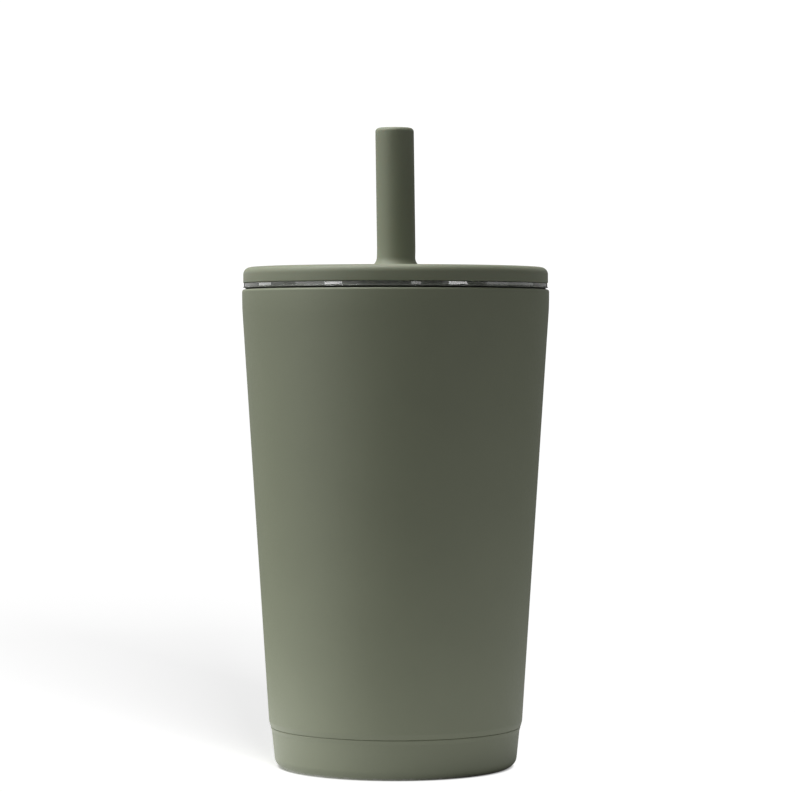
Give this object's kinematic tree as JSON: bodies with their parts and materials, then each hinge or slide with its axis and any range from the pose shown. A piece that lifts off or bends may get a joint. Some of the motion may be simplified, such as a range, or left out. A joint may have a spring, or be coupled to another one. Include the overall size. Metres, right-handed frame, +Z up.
{
  "type": "insulated tumbler with lid",
  "caption": "Double-wall steel tumbler with a tapered powder-coated body, a clear plug lid, and a soft cover with an upright drinking spout over a straw tube.",
  "frame": {"origin": "centre of the base, on the surface that the tumbler stands on", "axes": "+Z up along the tumbler's axis, towards the spout; -Y is the front, and the vent hole is at the back, towards +Y"},
  "size_m": [0.09, 0.09, 0.1872],
  "materials": {
    "powder_coat": "fine-textured matte powder coat",
    "steel": "bare, finely brushed",
    "solder_glass": "dull glassy drop",
    "getter_metal": "pressed powder pellet",
    "foil": "bright foil",
    "clear_plastic": "clear, polished",
    "seal_silicone": "matte translucent silicone",
    "cover_silicone": "matte moulded silicone",
    "straw_plastic": "smooth, slightly milky"
  },
  "bodies": {
    "cup": {"outer_shell": "powder_coat", "inner_liner": "steel", "outer_base": "powder_coat", "base_cover": "steel", "vacuum_seal": "solder_glass", "getter": "getter_metal", "getter_clip": "steel", "radiation_foil": "foil"},
    "lid": {"lid_body": "clear_plastic", "lid_gasket": "seal_silicone"},
    "cover": {"lid_cover": "cover_silicone"},
    "straw": {"straw_tube": "straw_plastic"}
  },
  "joints": [
    {"name": "lid_lift", "type": "slide", "parent": "cup", "child": "lid", "axis": [0, 0, 1], "range_m": [0, 0.15]},
    {"name": "cover_lift", "type": "slide", "parent": "lid", "child": "cover", "axis": [0, 0, 1], "range_m": [0, 0.15]},
    {"name": "straw_pull", "type": "slide", "parent": "cover", "child": "straw", "axis": [0, 0, -1], "range_m": [0, 0.005]}
  ]
}
